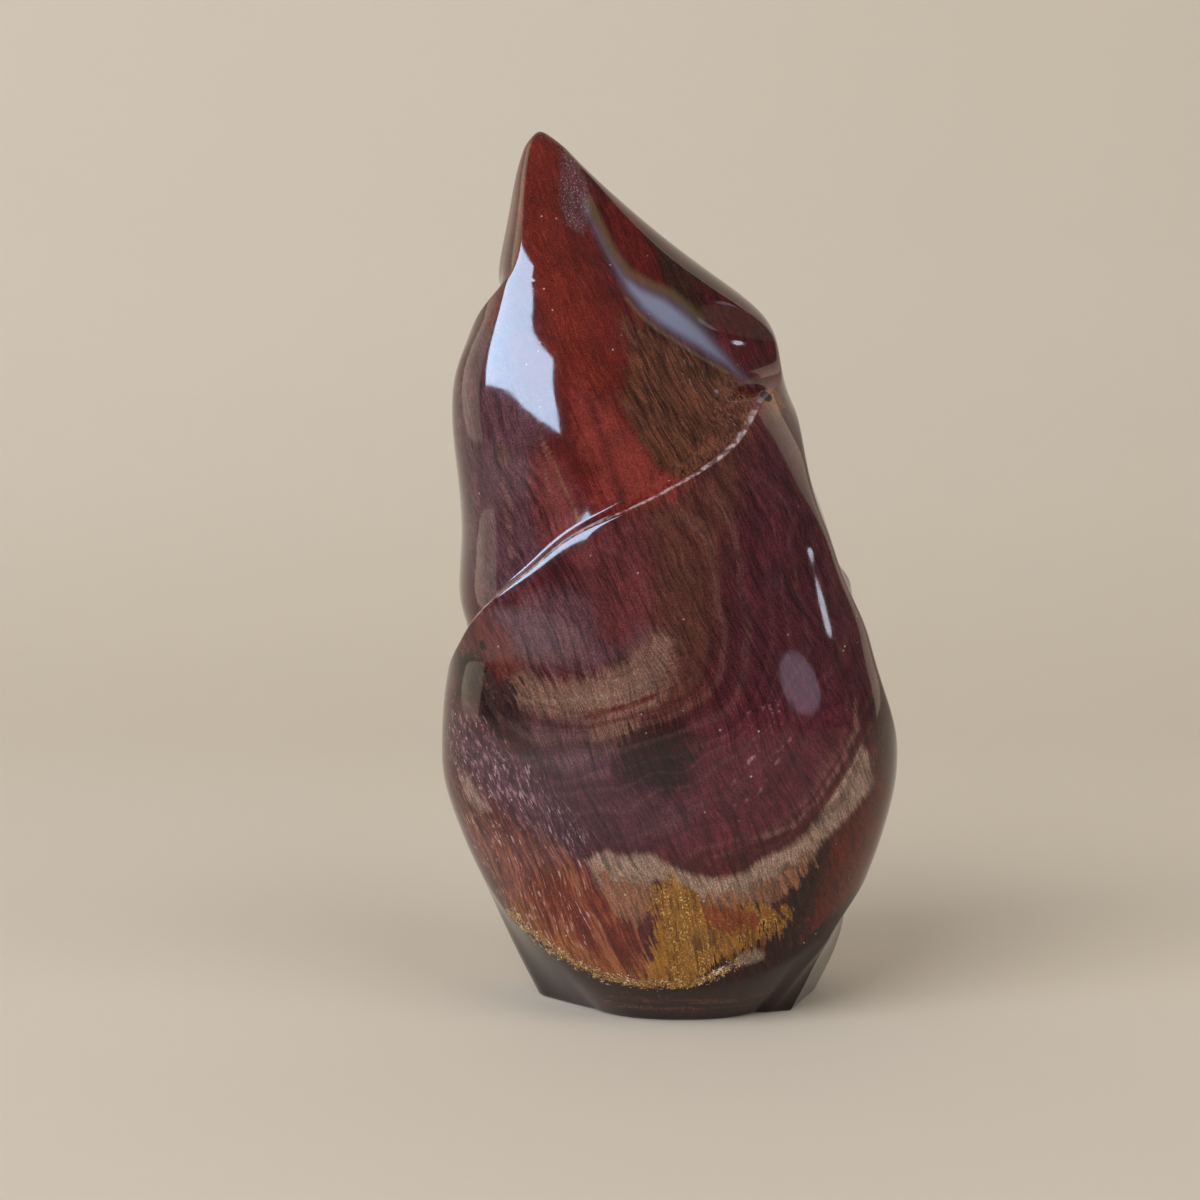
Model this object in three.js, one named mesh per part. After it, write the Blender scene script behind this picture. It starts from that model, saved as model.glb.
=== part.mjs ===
// Petrified wood flame carving: one polished stone, cut as a flame whose wraps twist round each other.
// Millimetres, +Z up, the front towards -Y. The origin is the middle of the outline, at the level it stands on.
import * as THREE from "three";

const HEIGHT = 150;
const TIP_ROUND = 3.4; // the last of the height, where the tip rounds over
const COLUMNS_PER_WRAP = 34;
const LEVELS = 65; // rings from the foot to where the tip rounds over
const TIP_LEVELS = 4;
const CROWDING = 0.6; // how far the columns crowd towards the crests, 0 to 1
const SQUARENESS = 2.3; // 2 is a plain oval
const CREST_SOFTNESS = 1; // degrees
const FLAT_SOFTNESS = 0.014; // share of the radius
const FLAT_FELT_FROM = 0.3; // cosine of the widest angle from a flat's direction at which it still cuts
const NEXT_CREST_FELT_FROM = 0.3; // share of a wrap's width, past which the next crest's soft edge begins

// The body before the wraps are cut in: height, then how far it reaches left, right, front and back.
const OUTLINE = [
  [0, -22.5, 25.8, -22, 22],
  [8, -26.5, 30, -26.2, 26],
  [20, -32, 33.8, -28.3, 28.6],
  [30, -36.5, 37.4, -29.3, 29.3],
  [41, -39.6, 39.67, -29.54, 29.68],
  [51, -39.3, 39.3, -29.2, 29.2],
  [62, -37.8, 36.8, -28.6, 28.2],
  [69, -40.8, 35.6, -28, 27.6],
  [80, -39.2, 32.6, -27, 26.6],
  [90, -37.8, 27.6, -25.6, 25.6],
  [100, -38, 23.4, -24.2, 24.2],
  [107, -37.4, 20.4, -22.6, 23],
  [113, -35.4, 19.7, -20.7, 21.6],
  [118, -33.4, 18.4, -18.7, 19.6],
  [122, -32.6, 13.7, -16.9, 17.8],
  [128, -31.7, 4.9, -14, 15.2],
  [135, -29.6, -4.3, -10.6, 12],
  [141.5, -27.7, -12, -7, 8.4],
  [146.6, -25.5, -17.4, -3.4, 4.8],
  [150, -24.2, -20.4, -1.4, 2.4],
];
const EASING_OF_OUTLINE = 5;

// The front wrap's crest runs from the tip down the right, hooks round and crosses the front to the left.
// Height, the crest's direction, the groove's depth past it, and the directions where its wall and the groove end.
// Directions are degrees: 0 is right, 90 front, 180 left and 270 back.
const FRONT_WRAP = [
  [0, 262, 0, 276, 382],
  [34, 258, 0, 272, 378],
  [42, 244, 1, 258, 364],
  [50, 210, 2, 223, 330],
  [58.4, 171, 2.8, 184, 296],
  [62, 157, 3.2, 169, 285],
  [66.4, 143.5, 3.9, 153.5, 273.5],
  [75, 123, 5, 131, 258],
  [81, 111, 5, 119, 251],
  [87.4, 86.5, 5, 94.5, 231.5],
  [94.7, 62, 5.2, 71, 212],
  [101, 47.5, 6, 56.5, 197.5],
  [104, 40, 6.8, 50, 190],
  [107, 21, 7.2, 46, 182],
  [110.5, 13, 7.6, 51, 170],
  [114, 15, 8, 60, 158],
  [118, 34, 8.7, 72, 148],
  [122, 44.5, 8.4, 80, 141.5],
  [128, 49, 6.8, 83, 134],
  [135, 46.5, 4.3, 77.5, 131.5],
  [145, 34, 0.8, 64, 124],
  [150, 34, 0, 64, 124],
];
const EASING_OF_FRONT_CREST = 2;
const EASING_OF_FRONT_GROOVE = 4;

// The back wrap's crest comes over the left shoulder and crosses the back to the right, in the same columns.
const BACK_WRAP = [
  [0, 400, 0, 420, 510],
  [40, 396, 0, 416, 506],
  [56, 380, 0, 400, 490],
  [64, 362, 0, 380, 472],
  [72, 338, 0.8, 353, 443],
  [80, 308, 2.8, 320, 408],
  [90, 272, 4.6, 283, 372],
  [100, 240, 5, 252, 345],
  [108, 212, 5, 226, 322],
  [113, 192, 5.2, 207, 307],
  [117, 169, 5.6, 187, 292],
  [122, 144, 3.5, 174, 274],
  [125, 134, 2.3, 166, 274],
  [130, 128, 2.1, 162, 278],
  [138, 127, 1.4, 161, 277],
  [145, 127, 0.4, 161, 277],
  [150, 127, 0, 161, 277],
];
const EASING_OF_BACK_WRAP = 2.5;

// Two ground flats: height, the direction that the flat faces, and its distance from the middle in radii.
const RIGHT_FLAT = [
  [30, -2, 1.04],
  [44, 0, 1],
  [56, 1, 0.93],
  [63, 1, 0.92],
  [72, 5, 0.91],
  [83, 8, 0.9],
  [90, 5, 0.91],
  [98, 0, 0.94],
  [106, -4, 1.04],
];
const EASING_OF_RIGHT_FLAT = 5;
const FOOT_FLAT = [
  [0, 20, 0.93],
  [8, 18, 0.93],
  [12, 14, 0.94],
  [16.4, 7, 0.93],
  [21.6, -4, 0.95],
  [26.3, -16, 0.98],
  [32, -28, 1.04],
];
const EASING_OF_FOOT_FLAT = 3;

// The right side of the upper part slants back: height, how far back it runs for each step right, and from where.
const SLANT = [
  [0, 0, -8],
  [80, 0, -8],
  [94, 0.1, -8],
  [105, 0.24, -8],
  [113, 0.32, -8],
  [122, 0.34, -11],
  [130, 0.36, -15],
  [140, 0.36, -19],
  [150, 0.36, -22],
];
const EASING_OF_SLANT = 5;
const SLANT_SOFTNESS = 6;

// The front of the foot is ground back under a rim that climbs towards the sides.
const RIM = { direction: 92, lowest: 7.2, climb: 9.4, over: 58, softness: 0.5 };
const UNDERCUT = { from: 38, fullFrom: 52, fullTo: 137, to: 172, slope: 0.42 };

// A smooth curve through one column of a table, which bends no further than the table's points.
function curveThrough(rows, column) {
  const at = rows.map((row) => row[0]);
  const value = rows.map((row) => row[column]);
  const last = rows.length - 1;
  const rise = at.slice(1).map((h, i) => (value[i + 1] - value[i]) / (h - at[i]));
  const slope = at.map((_, i) => {
    if (i === 0) return rise[0];
    if (i === last) return rise[last - 1];
    const below = rise[i - 1];
    const above = rise[i];
    return below * above <= 0 ? 0 : (2 * below * above) / (below + above);
  });
  return (h) => {
    if (h <= at[0]) return value[0] + slope[0] * (h - at[0]);
    if (h >= at[last]) return value[last] + slope[last] * (h - at[last]);
    const i = at.findIndex((_, k) => h < at[k + 1]);
    const gap = at[i + 1] - at[i];
    const t = (h - at[i]) / gap;
    const start = (1 + 2 * t) * (1 - t) ** 2 * value[i] + t * (1 - t) ** 2 * gap * slope[i];
    const end = t * t * (3 - 2 * t) * value[i + 1] + t * t * (t - 1) * gap * slope[i + 1];
    return start + end;
  };
}

// The same curve with its corners eased over a distance on each side.
function eased(curve, reach) {
  return (h) => {
    const near = curve(h - reach / 2) + curve(h + reach / 2);
    const far = curve(h - reach) + curve(h + reach);
    return (6 * curve(h) + 4 * near + far) / 16;
  };
}

function curvesOf(rows, reach) {
  return rows[0].slice(1).map((_, i) => eased(curveThrough(rows, i + 1), reach));
}

// Zero below zero and the number itself above it, with a soft corner.
function softRise(value, softness) {
  return (value + Math.hypot(value, softness)) / 2;
}

function softMinimum(a, b, softness) {
  const overlap = Math.max(softness - Math.abs(a - b), 0) / softness;
  return Math.min(a, b) - (overlap * overlap * softness) / 4;
}

// The share of a groove's depth that is cut away at some degrees past its crest.
function grooveShare(past, wall, reach) {
  const along = softRise(past, CREST_SOFTNESS);
  if (along < wall) return Math.sin(((Math.PI / 2) * along) / wall);
  const recovered = Math.min(1, (along - wall) / (reach - wall));
  return (1 + Math.cos(Math.PI * recovered)) / 2;
}

// Places from 0 to 1 that crowd towards both ends.
function crowdedPlaces(count) {
  return Array.from({ length: count }, (_, i) => {
    const t = i / count;
    return t - (CROWDING * Math.sin(2 * Math.PI * t)) / (2 * Math.PI);
  });
}

function clamp01(value) {
  return Math.min(1, Math.max(0, value));
}

// How far the foot's front is ground back at a direction and height.
function undercutAt(direction, height) {
  const turned = ((direction % 360) + 360) % 360;
  const fromRight = clamp01((turned - UNDERCUT.from) / (UNDERCUT.fullFrom - UNDERCUT.from));
  const fromLeft = clamp01((UNDERCUT.to - turned) / (UNDERCUT.to - UNDERCUT.fullTo));
  const rim = RIM.lowest + RIM.climb * ((turned - RIM.direction) / RIM.over) ** 2;
  return UNDERCUT.slope * fromRight * fromLeft * softRise(rim - height, RIM.softness);
}

const [left, right, front, back] = curvesOf(OUTLINE, EASING_OF_OUTLINE);
const [frontCrestCurve] = curvesOf(FRONT_WRAP, EASING_OF_FRONT_CREST);
const frontGroove = curvesOf(FRONT_WRAP, EASING_OF_FRONT_GROOVE).slice(1);
const backWrap = curvesOf(BACK_WRAP, EASING_OF_BACK_WRAP);
const [slantRate, slantFrom] = curvesOf(SLANT, EASING_OF_SLANT);
const flats = [
  curvesOf(RIGHT_FLAT, EASING_OF_RIGHT_FLAT),
  curvesOf(FOOT_FLAT, EASING_OF_FOOT_FLAT),
];
const places = crowdedPlaces(COLUMNS_PER_WRAP);

function slantAt(x, height) {
  return slantRate(height) * softRise(x - slantFrom(height), SLANT_SOFTNESS);
}

// The middle and half widths of the outline at a height, drawn in where the tip rounds over.
function ovalAt(height) {
  const intoTip = clamp01((height - HEIGHT + TIP_ROUND) / TIP_ROUND);
  const share = Math.sqrt(1 - intoTip * intoTip);
  return {
    x: (left(height) + right(height)) / 2,
    y: (front(height) + back(height)) / 2,
    halfWidth: (right(height) - left(height)) / 2,
    halfDepth: (back(height) - front(height)) / 2,
    share,
  };
}

// The radius, as a share of the oval's, in a direction at a height.
function radiusShare(direction, height, cut, oval) {
  const angle = THREE.MathUtils.degToRad(direction);
  const across = Math.abs(Math.cos(angle)) ** SQUARENESS;
  const along = Math.abs(Math.sin(angle)) ** SQUARENESS;
  let share = (across + along) ** (-1 / SQUARENESS);
  for (const [facing, distance] of flats) {
    const towards = Math.cos(angle - THREE.MathUtils.degToRad(facing(height)));
    if (towards > FLAT_FELT_FROM) share = softMinimum(share, distance(height) / towards, FLAT_SOFTNESS);
  }
  const radius = (oval.halfWidth + oval.halfDepth) / 2;
  return share - (cut + undercutAt(direction, height)) / radius;
}

// One ring of the surface: the columns run from the front crest to the back crest, and on round to the front one.
function ringAt(height) {
  const frontCrest = frontCrestCurve(height);
  const [frontDepth, frontWallEnd, frontEnd] = frontGroove.map((curve) => curve(height));
  const [backCrest, backDepth, backWallEnd, backEnd] = backWrap.map((curve) => curve(height));
  const frontSpan = backCrest - frontCrest;
  const backSpan = 360 - frontSpan;
  const oval = ovalAt(height);
  const point = (direction, cut) => {
    const share = radiusShare(direction, height, cut, oval);
    const angle = THREE.MathUtils.degToRad(direction);
    const x = oval.x + oval.share * oval.halfWidth * share * Math.cos(angle);
    const y = oval.y - oval.share * oval.halfDepth * share * Math.sin(angle);
    return new THREE.Vector3(x, y + slantAt(x, height), height);
  };
  const frontReach = Math.min(frontEnd - frontCrest, frontSpan);
  const backReach = Math.min(backEnd - backCrest, backSpan);
  const frontCut = (past) => frontDepth * grooveShare(past, frontWallEnd - frontCrest, frontReach);
  const backCut = (past) => backDepth * grooveShare(past, backWallEnd - backCrest, backReach);
  const acrossFront = places.map((t) => {
    const past = t * frontSpan;
    const nearNext = t < NEXT_CREST_FELT_FROM ? 0 : backCut(past - frontSpan);
    return point(frontCrest + past, frontCut(past) + nearNext);
  });
  const acrossBack = places.map((t) => {
    const past = t * backSpan;
    const nearNext = t < NEXT_CREST_FELT_FROM ? 0 : frontCut(past - backSpan);
    return point(backCrest + past, backCut(past) + nearNext);
  });
  return [...acrossFront, ...acrossBack];
}

// Heights of the rings: even up to the tip, then closer as it rounds over.
function ringHeights() {
  const straight = Array.from({ length: LEVELS }, (_, i) => ((HEIGHT - TIP_ROUND) * i) / LEVELS);
  const rounded = Array.from({ length: TIP_LEVELS }, (_, i) => {
    const turn = (Math.PI / 2) * (i / TIP_LEVELS);
    return HEIGHT - TIP_ROUND + TIP_ROUND * Math.sin(turn);
  });
  return [...straight, ...rounded];
}

// Two triangles for four corners, split along the shorter diagonal.
function quadFaces(points, a, b, c, d) {
  const acrossAC = points[a].distanceTo(points[c]);
  const acrossBD = points[b].distanceTo(points[d]);
  return acrossAC < acrossBD ? [a, b, c, a, c, d] : [a, b, d, b, c, d];
}

function flameGeometry() {
  const rings = ringHeights().map(ringAt);
  const columns = rings[0].length;
  const foot = ovalAt(0);
  const tip = ovalAt(HEIGHT);
  const points = [
    ...rings.flat(),
    new THREE.Vector3(foot.x, foot.y, 0),
    new THREE.Vector3(tip.x, tip.y + slantAt(tip.x, HEIGHT), HEIGHT),
  ];
  const footMiddle = rings.length * columns;
  const tipPoint = footMiddle + 1;
  const faces = [];
  for (let level = 0; level < rings.length; level++) {
    for (let column = 0; column < columns; column++) {
      const here = level * columns + column;
      const next = level * columns + ((column + 1) % columns);
      if (level === 0) faces.push(footMiddle, here, next);
      if (level === rings.length - 1) faces.push(next, here, tipPoint);
      else faces.push(...quadFaces(points, next, here, here + columns, next + columns));
    }
  }
  const geometry = new THREE.BufferGeometry().setFromPoints(points);
  geometry.setIndex(faces);
  geometry.computeVertexNormals();
  return geometry;
}

const polishedPetrifiedWood = new THREE.MeshStandardMaterial({
  color: 0x5a2624,
  roughness: 0.1,
  metalness: 0,
});

const carving = new THREE.Mesh(flameGeometry(), polishedPetrifiedWood);
carving.name = "flame_carving";

const flame = new THREE.Group();
flame.add(carving);

export default flame;
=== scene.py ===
import math

import bmesh
import bpy
import numpy as np
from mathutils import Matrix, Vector


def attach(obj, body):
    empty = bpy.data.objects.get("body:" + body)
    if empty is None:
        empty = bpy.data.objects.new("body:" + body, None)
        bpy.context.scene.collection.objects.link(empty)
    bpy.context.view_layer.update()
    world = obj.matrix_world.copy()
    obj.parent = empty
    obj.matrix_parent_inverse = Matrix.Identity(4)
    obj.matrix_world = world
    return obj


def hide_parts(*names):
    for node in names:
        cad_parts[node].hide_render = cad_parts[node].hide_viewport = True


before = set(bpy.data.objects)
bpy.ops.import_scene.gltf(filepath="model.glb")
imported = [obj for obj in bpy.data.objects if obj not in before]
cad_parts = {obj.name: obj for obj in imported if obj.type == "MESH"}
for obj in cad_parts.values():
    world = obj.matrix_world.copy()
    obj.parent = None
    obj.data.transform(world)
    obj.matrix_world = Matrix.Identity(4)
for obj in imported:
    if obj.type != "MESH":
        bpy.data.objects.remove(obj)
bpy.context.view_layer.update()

# The carving
# One solid piece of petrified wood: silica that has kept the wood's fibres and rings in red, maroon, tan and
# gold. It is sawn and ground to a flame whose two wraps twist round each other, and polished to a mirror all
# over, apart from the crumbly golden rim, the crystal patch under the tip and the small pit at the knot.
MM = 0.001
HEIGHT = 150.0
TIP_ROUND = 3.4  # the last of the height, where the tip rounds over
FOOT_EDGE = 0.5  # radius of the foot's rounded edge
SQUARENESS = 2.3  # 2 is a plain oval
CREST_SOFTNESS = 1.0  # degrees
FLAT_SOFTNESS = 0.014  # share of the radius
FLAT_FELT_FROM = 0.3  # cosine of the widest angle from a flat's direction at which it still cuts
NEXT_CREST_FELT_FROM = 0.3  # share of a wrap's width, past which the next crest's soft edge begins

# The body before the wraps are cut in: height, then how far it reaches left, right, front and back.
OUTLINE = [
    (0, -22.5, 25.8, -22, 22), (8, -26.5, 30, -26.2, 26), (20, -32, 33.8, -28.3, 28.6),
    (30, -36.5, 37.4, -29.3, 29.3), (41, -39.6, 39.67, -29.54, 29.68), (51, -39.3, 39.3, -29.2, 29.2),
    (62, -37.8, 36.8, -28.6, 28.2), (69, -40.8, 35.6, -28, 27.6), (80, -39.2, 32.6, -27, 26.6),
    (90, -37.8, 27.6, -25.6, 25.6), (100, -38, 23.4, -24.2, 24.2), (107, -37.4, 20.4, -22.6, 23),
    (113, -35.4, 19.7, -20.7, 21.6), (118, -33.4, 18.4, -18.7, 19.6), (122, -32.6, 13.7, -16.9, 17.8),
    (128, -31.7, 4.9, -14, 15.2), (135, -29.6, -4.3, -10.6, 12), (141.5, -27.7, -12, -7, 8.4),
    (146.6, -25.5, -17.4, -3.4, 4.8), (150, -24.2, -20.4, -1.4, 2.4),
]
EASING_OF_OUTLINE = 5

# Each wrap: height, its crest's direction, the groove's depth past it, and the directions where the groove's
# wall and the groove end. Directions are degrees: 0 is right, 90 front, 180 left and 270 back.
FRONT_WRAP = [
    (0, 262, 0, 276, 382), (34, 258, 0, 272, 378), (42, 244, 1, 258, 364), (50, 210, 2, 223, 330),
    (58.4, 171, 2.8, 184, 296), (62, 157, 3.2, 169, 285), (66.4, 143.5, 3.9, 153.5, 273.5),
    (75, 123, 5, 131, 258), (81, 111, 5, 119, 251), (87.4, 86.5, 5, 94.5, 231.5),
    (94.7, 62, 5.2, 71, 212), (101, 47.5, 6, 56.5, 197.5), (104, 40, 6.8, 50, 190),
    (107, 21, 7.2, 46, 182), (110.5, 13, 7.6, 51, 170), (114, 15, 8, 60, 158), (118, 34, 8.7, 72, 148),
    (122, 44.5, 8.4, 80, 141.5), (128, 49, 6.8, 83, 134), (135, 46.5, 4.3, 77.5, 131.5),
    (145, 34, 0.8, 64, 124), (150, 34, 0, 64, 124),
]
EASING_OF_FRONT_CREST = 2
EASING_OF_FRONT_GROOVE = 4
BACK_WRAP = [
    (0, 400, 0, 420, 510), (40, 396, 0, 416, 506), (56, 380, 0, 400, 490), (64, 362, 0, 380, 472),
    (72, 338, 0.8, 353, 443), (80, 308, 2.8, 320, 408), (90, 272, 4.6, 283, 372),
    (100, 240, 5, 252, 345), (108, 212, 5, 226, 322), (113, 192, 5.2, 207, 307),
    (117, 169, 5.6, 187, 292), (122, 144, 3.5, 174, 274), (125, 134, 2.3, 166, 274),
    (130, 128, 2.1, 162, 278), (138, 127, 1.4, 161, 277), (145, 127, 0.4, 161, 277),
    (150, 127, 0, 161, 277),
]
EASING_OF_BACK_WRAP = 2.5

# The two ground flats: height, the direction that the flat faces, and its distance from the middle in radii.
RIGHT_FLAT = [
    (30, -2, 1.04), (44, 0, 1), (56, 1, 0.93), (63, 1, 0.92), (72, 5, 0.91), (83, 8, 0.9),
    (90, 5, 0.91), (98, 0, 0.94), (106, -4, 1.04),
]
EASING_OF_RIGHT_FLAT = 5
FOOT_FLAT = [
    (0, 20, 0.93), (8, 18, 0.93), (12, 14, 0.94), (16.4, 7, 0.93), (21.6, -4, 0.95), (26.3, -16, 0.98),
    (32, -28, 1.04),
]
EASING_OF_FOOT_FLAT = 3

# The right side of the upper part slants back: height, how far back it runs for each step right, and from where.
SLANT = [
    (0, 0, -8), (80, 0, -8), (94, 0.1, -8), (105, 0.24, -8), (113, 0.32, -8), (122, 0.34, -11),
    (130, 0.36, -15), (140, 0.36, -19), (150, 0.36, -22),
]
EASING_OF_SLANT = 5
SLANT_SOFTNESS = 6

# The front of the foot is ground back under a rim that climbs towards the sides, between two directions.
RIM_DIRECTION, RIM_LOWEST, RIM_CLIMB, RIM_OVER, RIM_SOFTNESS = 92, 7.2, 9.4, 58, 0.5
UNDERCUT_FROM, UNDERCUT_FULL_FROM = 38, 52
UNDERCUT_FULL_TO, UNDERCUT_TO = 137, 172
UNDERCUT_SLOPE = 0.42


def curve_through(rows, column):
    """A smooth curve through one column of a table, which bends no further than the table's points."""
    at = [row[0] for row in rows]
    value = [row[column] for row in rows]
    last = len(rows) - 1
    rise = [(value[i + 1] - value[i]) / (at[i + 1] - at[i]) for i in range(last)]
    slope = [rise[0]]
    for below, above in zip(rise, rise[1:]):
        slope.append(0 if below * above <= 0 else 2 * below * above / (below + above))
    slope.append(rise[-1])

    def curve(h):
        if h <= at[0]:
            return value[0] + slope[0] * (h - at[0])
        if h >= at[-1]:
            return value[-1] + slope[-1] * (h - at[-1])
        i = next(k for k in range(last) if h < at[k + 1])
        gap = at[i + 1] - at[i]
        t = (h - at[i]) / gap
        start = (1 + 2 * t) * (1 - t) ** 2 * value[i] + t * (1 - t) ** 2 * gap * slope[i]
        return start + t * t * (3 - 2 * t) * value[i + 1] + t * t * (t - 1) * gap * slope[i + 1]
    return curve


def curves_of(rows, reach):
    """The curves through all columns of a table, with their corners eased over a distance on each side."""
    def eased(curve):
        return lambda h: (6 * curve(h) + 4 * curve(h - reach / 2) + 4 * curve(h + reach / 2)
                          + curve(h - reach) + curve(h + reach)) / 16
    return [eased(curve_through(rows, column)) for column in range(1, len(rows[0]))]


def soft_rise(value, softness):
    """Zero below zero and the number itself above it, with a soft corner."""
    return (value + math.hypot(value, softness)) / 2


def soft_minimum(a, b, softness):
    overlap = max(softness - abs(a - b), 0) / softness
    return min(a, b) - overlap * overlap * softness / 4


def clamp01(value):
    return min(1, max(0, value))


def groove_share(past, wall, reach):
    """The share of a groove's depth that is cut away at some degrees past its crest."""
    along = soft_rise(past, CREST_SOFTNESS)
    if along < wall:
        return math.sin(math.pi / 2 * along / wall)
    return (1 + math.cos(math.pi * min(1, (along - wall) / (reach - wall)))) / 2


def undercut(direction, height):
    """How far the foot's front is ground back at a direction and height."""
    turned = direction % 360
    from_right = clamp01((turned - UNDERCUT_FROM) / (UNDERCUT_FULL_FROM - UNDERCUT_FROM))
    from_left = clamp01((UNDERCUT_TO - turned) / (UNDERCUT_TO - UNDERCUT_FULL_TO))
    rim = RIM_LOWEST + RIM_CLIMB * ((turned - RIM_DIRECTION) / RIM_OVER) ** 2
    return UNDERCUT_SLOPE * from_right * from_left * soft_rise(rim - height, RIM_SOFTNESS)


left, right, front, back = curves_of(OUTLINE, EASING_OF_OUTLINE)
front_crest_curve = curves_of(FRONT_WRAP, EASING_OF_FRONT_CREST)[0]
front_groove = curves_of(FRONT_WRAP, EASING_OF_FRONT_GROOVE)[1:]
back_wrap = curves_of(BACK_WRAP, EASING_OF_BACK_WRAP)
flats = [curves_of(RIGHT_FLAT, EASING_OF_RIGHT_FLAT), curves_of(FOOT_FLAT, EASING_OF_FOOT_FLAT)]
slant_rate, slant_from = curves_of(SLANT, EASING_OF_SLANT)


def middle_at(height):
    """The middle of the outline, before and after the slant."""
    x = (left(height) + right(height)) / 2
    y = (front(height) + back(height)) / 2
    return (x, y), (x, y + slant_rate(height) * soft_rise(x - slant_from(height), SLANT_SOFTNESS))


def drawn_in_at(height, radius):
    """The share of the radius that the rounded tip and the foot's rounded edge leave."""
    into_tip = clamp01((height - HEIGHT + TIP_ROUND) / TIP_ROUND)
    into_foot = clamp01(1 - height / FOOT_EDGE)
    return math.sqrt(1 - into_tip ** 2) * (1 - FOOT_EDGE / radius * (1 - math.sqrt(1 - into_foot ** 2)))


def ring_at(height, places):
    """One ring of the surface: each point, and how far round from the front crest it lies."""
    front_crest = front_crest_curve(height)
    front_depth, front_wall_end, front_end = [curve(height) for curve in front_groove]
    back_crest, back_depth, back_wall_end, back_end = [curve(height) for curve in back_wrap]
    front_span = back_crest - front_crest
    back_span = 360 - front_span
    front_reach = min(front_span, front_end - front_crest)
    back_reach = min(back_span, back_end - back_crest)
    middle = middle_at(height)[0]
    half_width = (right(height) - left(height)) / 2
    half_depth = (back(height) - front(height)) / 2
    radius = (half_width + half_depth) / 2
    drawn_in = drawn_in_at(height, radius)
    ground = [(math.radians(facing(height)), distance(height)) for facing, distance in flats]
    tilt, tilt_from = slant_rate(height), slant_from(height)

    def front_cut(past):
        return front_depth * groove_share(past, front_wall_end - front_crest, front_reach)

    def back_cut(past):
        return back_depth * groove_share(past, back_wall_end - back_crest, back_reach)

    def point(direction, cut):
        angle = math.radians(direction)
        across, along = abs(math.cos(angle)) ** SQUARENESS, abs(math.sin(angle)) ** SQUARENESS
        share = (across + along) ** (-1 / SQUARENESS)
        for facing, distance in ground:
            towards = math.cos(angle - facing)
            if towards > FLAT_FELT_FROM:
                share = soft_minimum(share, distance / towards, FLAT_SOFTNESS)
        share = drawn_in * (share - (cut + undercut(direction, height)) / radius)
        x = middle[0] + half_width * share * math.cos(angle)
        y = middle[1] - half_depth * share * math.sin(angle)
        return x, y + tilt * soft_rise(x - tilt_from, SLANT_SOFTNESS), height

    ring = []
    for t in places:
        past = t * front_span
        near_next = back_cut(past - front_span) if t >= NEXT_CREST_FELT_FROM else 0
        ring.append((point(front_crest + past, front_cut(past) + near_next), past))
    for t in places:
        past = t * back_span
        near_next = front_cut(past - back_span) if t >= NEXT_CREST_FELT_FROM else 0
        ring.append((point(back_crest + past, back_cut(past) + near_next), back_span - past))
    return ring


COLUMNS_PER_WRAP = 108
CROWDING = 0.82  # how far the columns crowd towards the crests, 0 to 1
FOOT_LEVELS, LEVELS, TIP_LEVELS = 4, 404, 12
spread = [2 * math.pi * i / COLUMNS_PER_WRAP for i in range(COLUMNS_PER_WRAP)]
places = [(turn - CROWDING * math.sin(turn)) / (2 * math.pi) for turn in spread]
straight = HEIGHT - TIP_ROUND - FOOT_EDGE
heights = [FOOT_EDGE * (1 - math.cos(math.pi / 2 * i / FOOT_LEVELS)) for i in range(FOOT_LEVELS)]
heights += [FOOT_EDGE + straight * i / LEVELS for i in range(LEVELS)]
heights += [HEIGHT - TIP_ROUND + TIP_ROUND * math.sin(math.pi / 2 * i / TIP_LEVELS) for i in range(TIP_LEVELS)]
rings = [ring_at(height, places) for height in heights]
columns = len(rings[0])

# A profile with a step for each ring is spun once round, and each point is then moved to its place in its ring.
bm = bmesh.new()
profile = [bm.verts.new((0, 0, 0))]
profile += [bm.verts.new((1, 0, level + 1)) for level in range(len(rings))]
profile += [bm.verts.new((0, 0, len(rings) + 1))]
lines = [bm.edges.new(pair) for pair in zip(profile, profile[1:])]
bmesh.ops.spin(bm, geom=profile + lines, axis=(0, 0, 1), cent=(0, 0, 0), angle=2 * math.pi,
               steps=columns, use_merge=True)
bmesh.ops.remove_doubles(bm, verts=bm.verts[:], dist=0.001)
crest_layer = bm.verts.layers.float.new("from_front_crest")
for vert in bm.verts:
    level = round(vert.co.z) - 1
    if level < 0:
        (x, y), z = middle_at(0)[1], 0
        vert[crest_layer] = 90
    elif level >= len(rings):
        (x, y), z = middle_at(HEIGHT)[1], HEIGHT
    else:
        column = round(math.atan2(vert.co.y, vert.co.x) / (2 * math.pi) * columns) % columns
        (x, y, z), vert[crest_layer] = rings[level][column]
    vert.co = (x * MM, y * MM, z * MM)
bm.normal_update()
bmesh.ops.recalc_face_normals(bm, faces=bm.faces[:])
mesh = bpy.data.meshes.new("petrified_wood_flame")
bm.to_mesh(mesh)
bm.free()
mesh.polygons.foreach_set("use_smooth", [True] * len(mesh.polygons))
carving = bpy.data.objects.new("petrified_wood_flame", mesh)
bpy.context.collection.objects.link(carving)

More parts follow.
